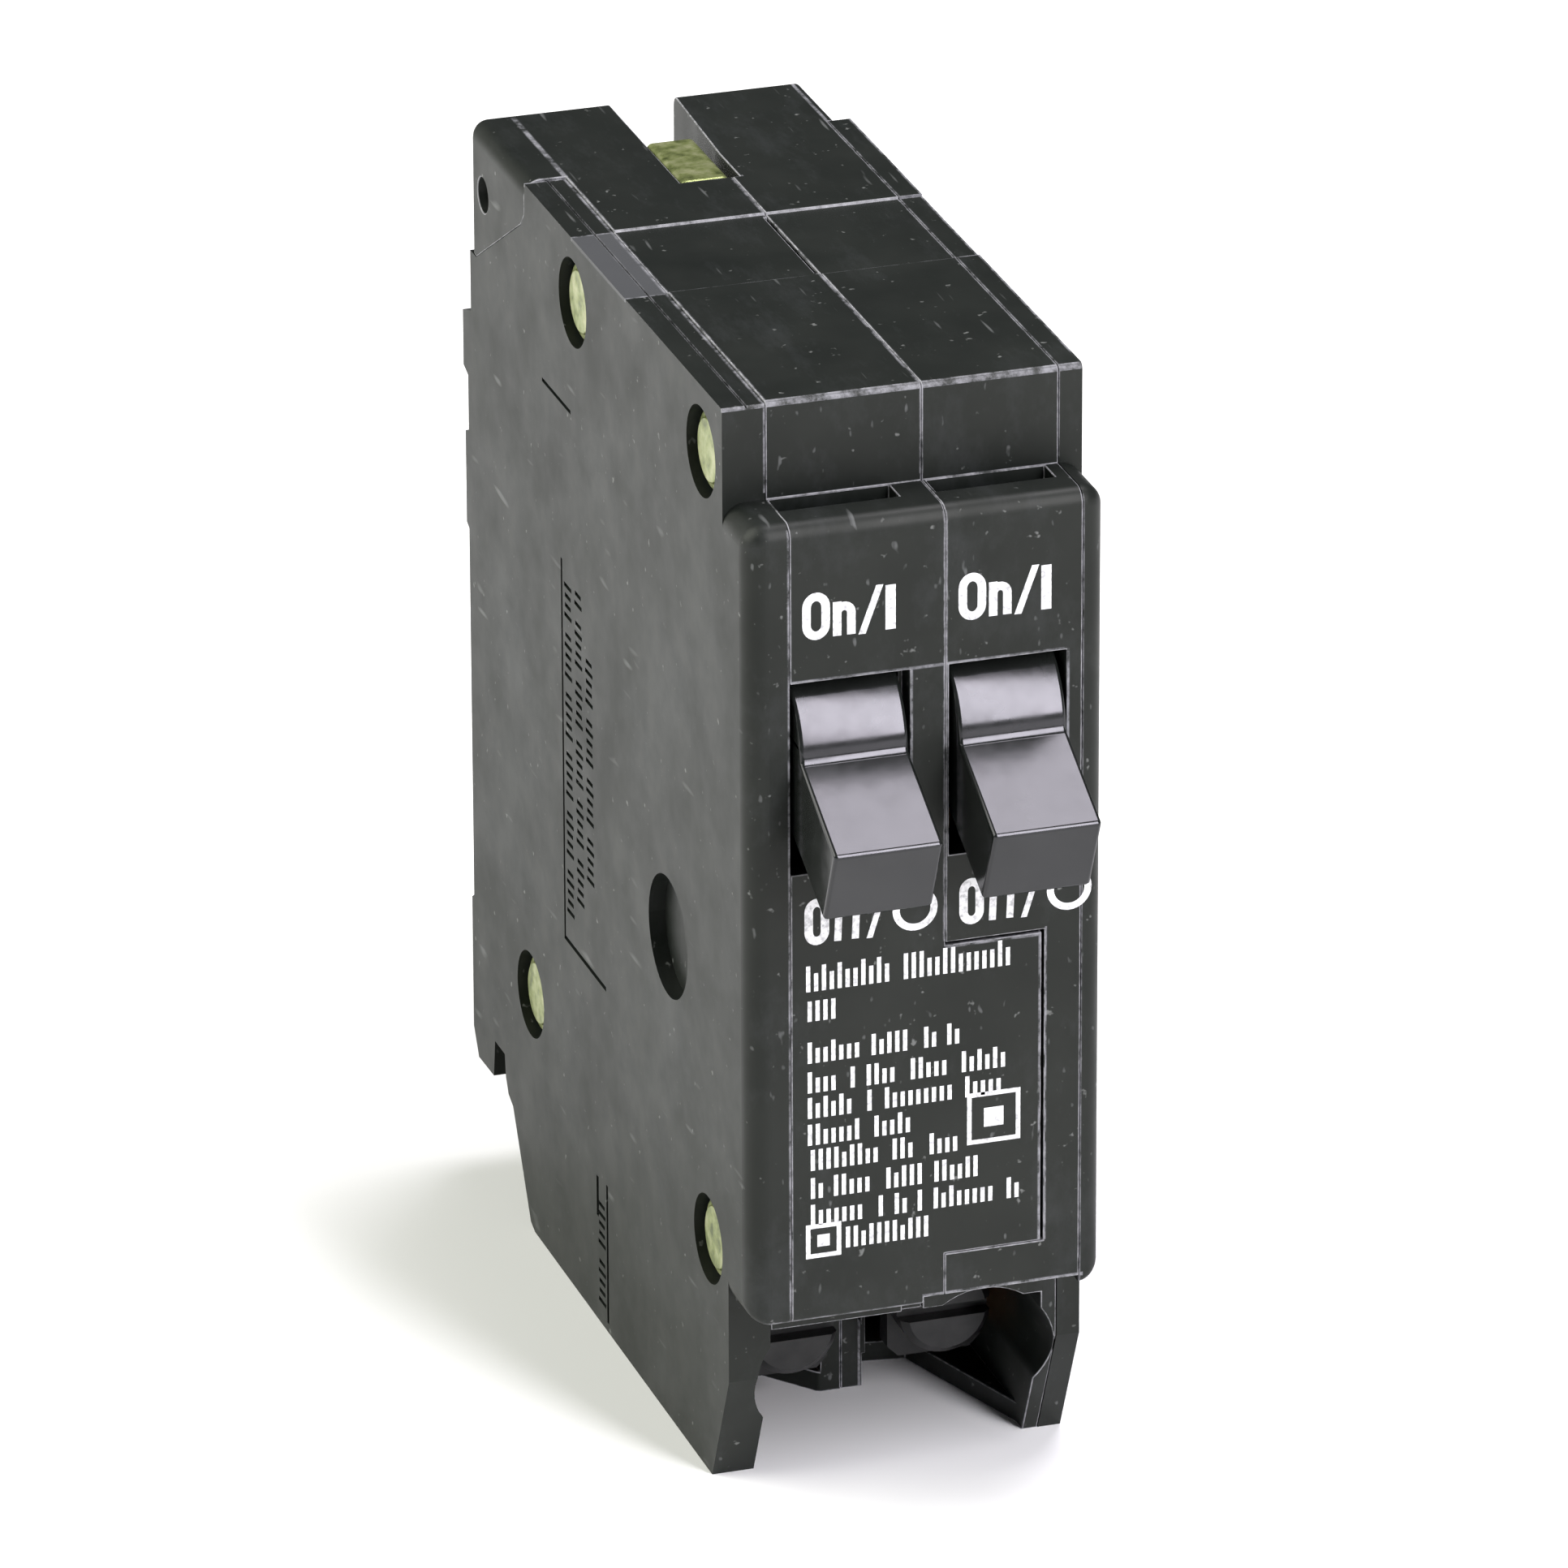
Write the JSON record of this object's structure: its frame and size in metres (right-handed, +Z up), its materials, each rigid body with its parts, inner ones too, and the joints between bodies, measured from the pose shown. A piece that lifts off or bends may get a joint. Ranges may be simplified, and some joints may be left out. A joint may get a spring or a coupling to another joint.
{
  "type": "tandem plug-in circuit breaker",
  "caption": "Slim plug-in circuit breaker with side-by-side toggle handles, a shared stab jaw at the back, a rail hook and screw terminals at the load end.",
  "frame": {"origin": "middle of the bottom of the bounding box, on the load end face", "axes": "+X to the right seen from the handles, -Y to the front where the handles are, +Z up from the load end to the line end"},
  "size_m": [0.0254, 0.0738, 0.0805],
  "materials": {
    "case": "satin moulded phenolic",
    "handle": "glossy moulded",
    "zinc": "yellow zinc chromate",
    "copper": "plain copper",
    "steel": "plain steel",
    "dark_steel": "blackened steel",
    "ink": "printed ink",
    "silver": "silver contact",
    "bimetal": "thermostat metal"
  },
  "bodies": {
    "case": {"left_cover": "case", "left_base": "case", "right_base": "case", "right_cover": "case", "case_rivets": "zinc", "stab_jaw": "zinc", "jaw_spring": "steel", "fixed_contact_left": "silver", "line_strap_left": "copper", "toggle_spring_left": "steel", "armature_spring_left": "steel", "magnet_yoke_left": "steel", "bimetal_left": "bimetal", "flexible_braid_left": "copper", "load_strap_left": "copper", "calibration_screw_left": "steel", "arc_plates_left": "steel", "pivot_pins_left": "steel", "fixed_contact_right": "silver", "line_strap_right": "copper", "toggle_spring_right": "steel", "armature_spring_right": "steel", "magnet_yoke_right": "steel", "bimetal_right": "bimetal", "flexible_braid_right": "copper", "load_strap_right": "copper", "calibration_screw_right": "steel", "arc_plates_right": "steel", "pivot_pins_right": "steel"},
    "handle_left": {"handle_left": "handle"},
    "contact_arm_left": {"contact_arm_left": "copper", "moving_contact_left": "silver"},
    "cradle_left": {"cradle_left": "steel"},
    "armature_left": {"armature_left": "steel"},
    "clamp_left": {"clamp_plate_left": "dark_steel"},
    "terminal_screw_left": {"terminal_screw_left": "dark_steel"},
    "handle_right": {"handle_right": "handle"},
    "contact_arm_right": {"contact_arm_right": "copper", "moving_contact_right": "silver"},
    "cradle_right": {"cradle_right": "steel"},
    "armature_right": {"armature_right": "steel"},
    "clamp_right": {"clamp_plate_right": "dark_steel"},
    "terminal_screw_right": {"terminal_screw_right": "dark_steel"}
  },
  "joints": [
    {"name": "handle_left_toggle", "type": "hinge", "parent": "case", "child": "handle_left", "pos_m": [-0.0055, -0.0235, 0.0565], "axis": [-1, 0, 0], "range_deg": [-8, 49.5]},
    {"name": "contact_arm_left_swing", "type": "hinge", "parent": "case", "child": "contact_arm_left", "pos_m": [-0.0055, -0.0109, 0.047], "axis": [-1, 0, 0], "range_deg": [-2.3, 14.05], "deforming": ["toggle_spring_left", "flexible_braid_left"]},
    {"name": "cradle_left_trip", "type": "hinge", "parent": "case", "child": "cradle_left", "pos_m": [-0.0055, 0.0166, 0.045], "axis": [1, 0, 0], "range_deg": [0, 12]},
    {"name": "armature_left_pull", "type": "hinge", "parent": "case", "child": "armature_left", "pos_m": [-0.0055, 0.0032, 0.019], "axis": [-1, 0, 0], "range_deg": [0, 3], "deforming": ["armature_spring_left"]},
    {"name": "clamp_left_slide", "type": "slide", "parent": "case", "child": "clamp_left", "axis": [0, 1, 0], "range_m": [0, 0.00317]},
    {"name": "terminal_screw_left_turn", "type": "hinge", "parent": "clamp_left", "child": "terminal_screw_left", "pos_m": [-0.0055, -0.0131, 0.008], "axis": [0, 1, 0], "range_deg": [0, 1441]},
    {"name": "handle_right_toggle", "type": "hinge", "parent": "case", "child": "handle_right", "pos_m": [0.0057, -0.0235, 0.0565], "axis": [-1, 0, 0], "range_deg": [-8, 49.5]},
    {"name": "contact_arm_right_swing", "type": "hinge", "parent": "case", "child": "contact_arm_right", "pos_m": [0.0057, -0.0109, 0.047], "axis": [-1, 0, 0], "range_deg": [-2.3, 14.05], "deforming": ["toggle_spring_right", "flexible_braid_right"]},
    {"name": "cradle_right_trip", "type": "hinge", "parent": "case", "child": "cradle_right", "pos_m": [0.0057, 0.0166, 0.045], "axis": [1, 0, 0], "range_deg": [0, 12]},
    {"name": "armature_right_pull", "type": "hinge", "parent": "case", "child": "armature_right", "pos_m": [0.0057, 0.0032, 0.019], "axis": [-1, 0, 0], "range_deg": [0, 3], "deforming": ["armature_spring_right"]},
    {"name": "clamp_right_slide", "type": "slide", "parent": "case", "child": "clamp_right", "axis": [0, 1, 0], "range_m": [0, 0.00317]},
    {"name": "terminal_screw_right_turn", "type": "hinge", "parent": "clamp_right", "child": "terminal_screw_right", "pos_m": [0.0057, -0.0131, 0.008], "axis": [0, 1, 0], "range_deg": [0, 1441]}
  ],
  "couplings": [
    {"joint": "contact_arm_left_swing", "follows": "handle_left_toggle", "ratio": 0.28283},
    {"joint": "terminal_screw_left_turn", "follows": "clamp_left_slide", "rad_per_m": 7915.8},
    {"joint": "contact_arm_right_swing", "follows": "handle_right_toggle", "ratio": 0.28283},
    {"joint": "terminal_screw_right_turn", "follows": "clamp_right_slide", "rad_per_m": 7915.8}
  ]
}
